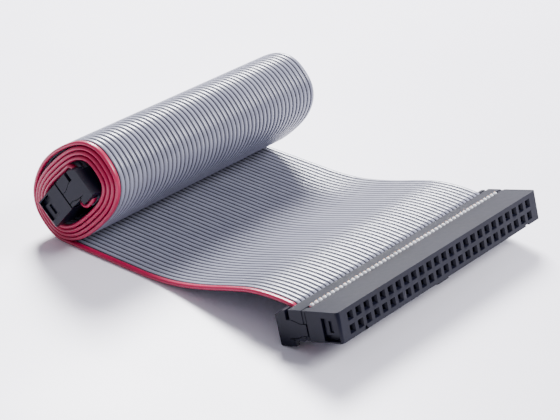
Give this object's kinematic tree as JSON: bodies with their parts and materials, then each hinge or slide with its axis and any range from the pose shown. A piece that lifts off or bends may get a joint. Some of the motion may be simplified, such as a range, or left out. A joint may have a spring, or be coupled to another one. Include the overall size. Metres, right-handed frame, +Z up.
{
  "type": "ribbon cable assembly",
  "caption": "Grey flat ribbon cable with a red edge wire, rolled up, with a black crimped socket and strain relief on each end, one of them at the end of a loose tail.",
  "frame": {"origin": "centre of the bounding box's footprint, on the surface that the cable lies on", "axes": "+X from the roll towards the end socket's mating face, +Y along the roll and the sockets away from the red edge wire, +Z up"},
  "size_m": [0.0807, 0.0692, 0.025],
  "materials": {
    "grey_pvc": "satin ridged insulation",
    "red_pvc": "satin insulation",
    "black_plastic": "moulded, slightly glossy",
    "contact_metal": "plated spring metal",
    "copper": "bare stranded copper"
  },
  "bodies": {
    "roll": {"ribbon_roll": "grey_pvc", "red_wire_roll": "red_pvc", "ribbon_inner_fold": "grey_pvc", "red_wire_inner_fold": "red_pvc", "inner_socket_body": "black_plastic", "inner_socket_cover": "black_plastic", "inner_strain_relief": "black_plastic", "inner_contacts_cut_side": "contact_metal", "inner_contacts_fold_side": "contact_metal", "inner_copper_cores": "copper"},
    "tail": {"ribbon_tail": "grey_pvc", "red_wire_tail": "red_pvc"},
    "end_socket": {"ribbon_end_fold": "grey_pvc", "red_wire_end_fold": "red_pvc", "end_socket_body": "black_plastic", "end_socket_cover": "black_plastic", "end_strain_relief": "black_plastic", "end_contacts_cut_side": "contact_metal", "end_contacts_fold_side": "contact_metal", "end_copper_cores": "copper"}
  },
  "joints": [
    {"name": "tail_lift", "type": "hinge", "parent": "roll", "child": "tail", "pos_m": [-0.02535, 0, 0.00042], "axis": [0, -1, 0], "range_deg": [0, 30]},
    {"name": "socket_tilt", "type": "hinge", "parent": "tail", "child": "end_socket", "pos_m": [0.02565, 0, 0.0075], "axis": [0, -1, 0], "range_deg": [-12, 45]}
  ]
}
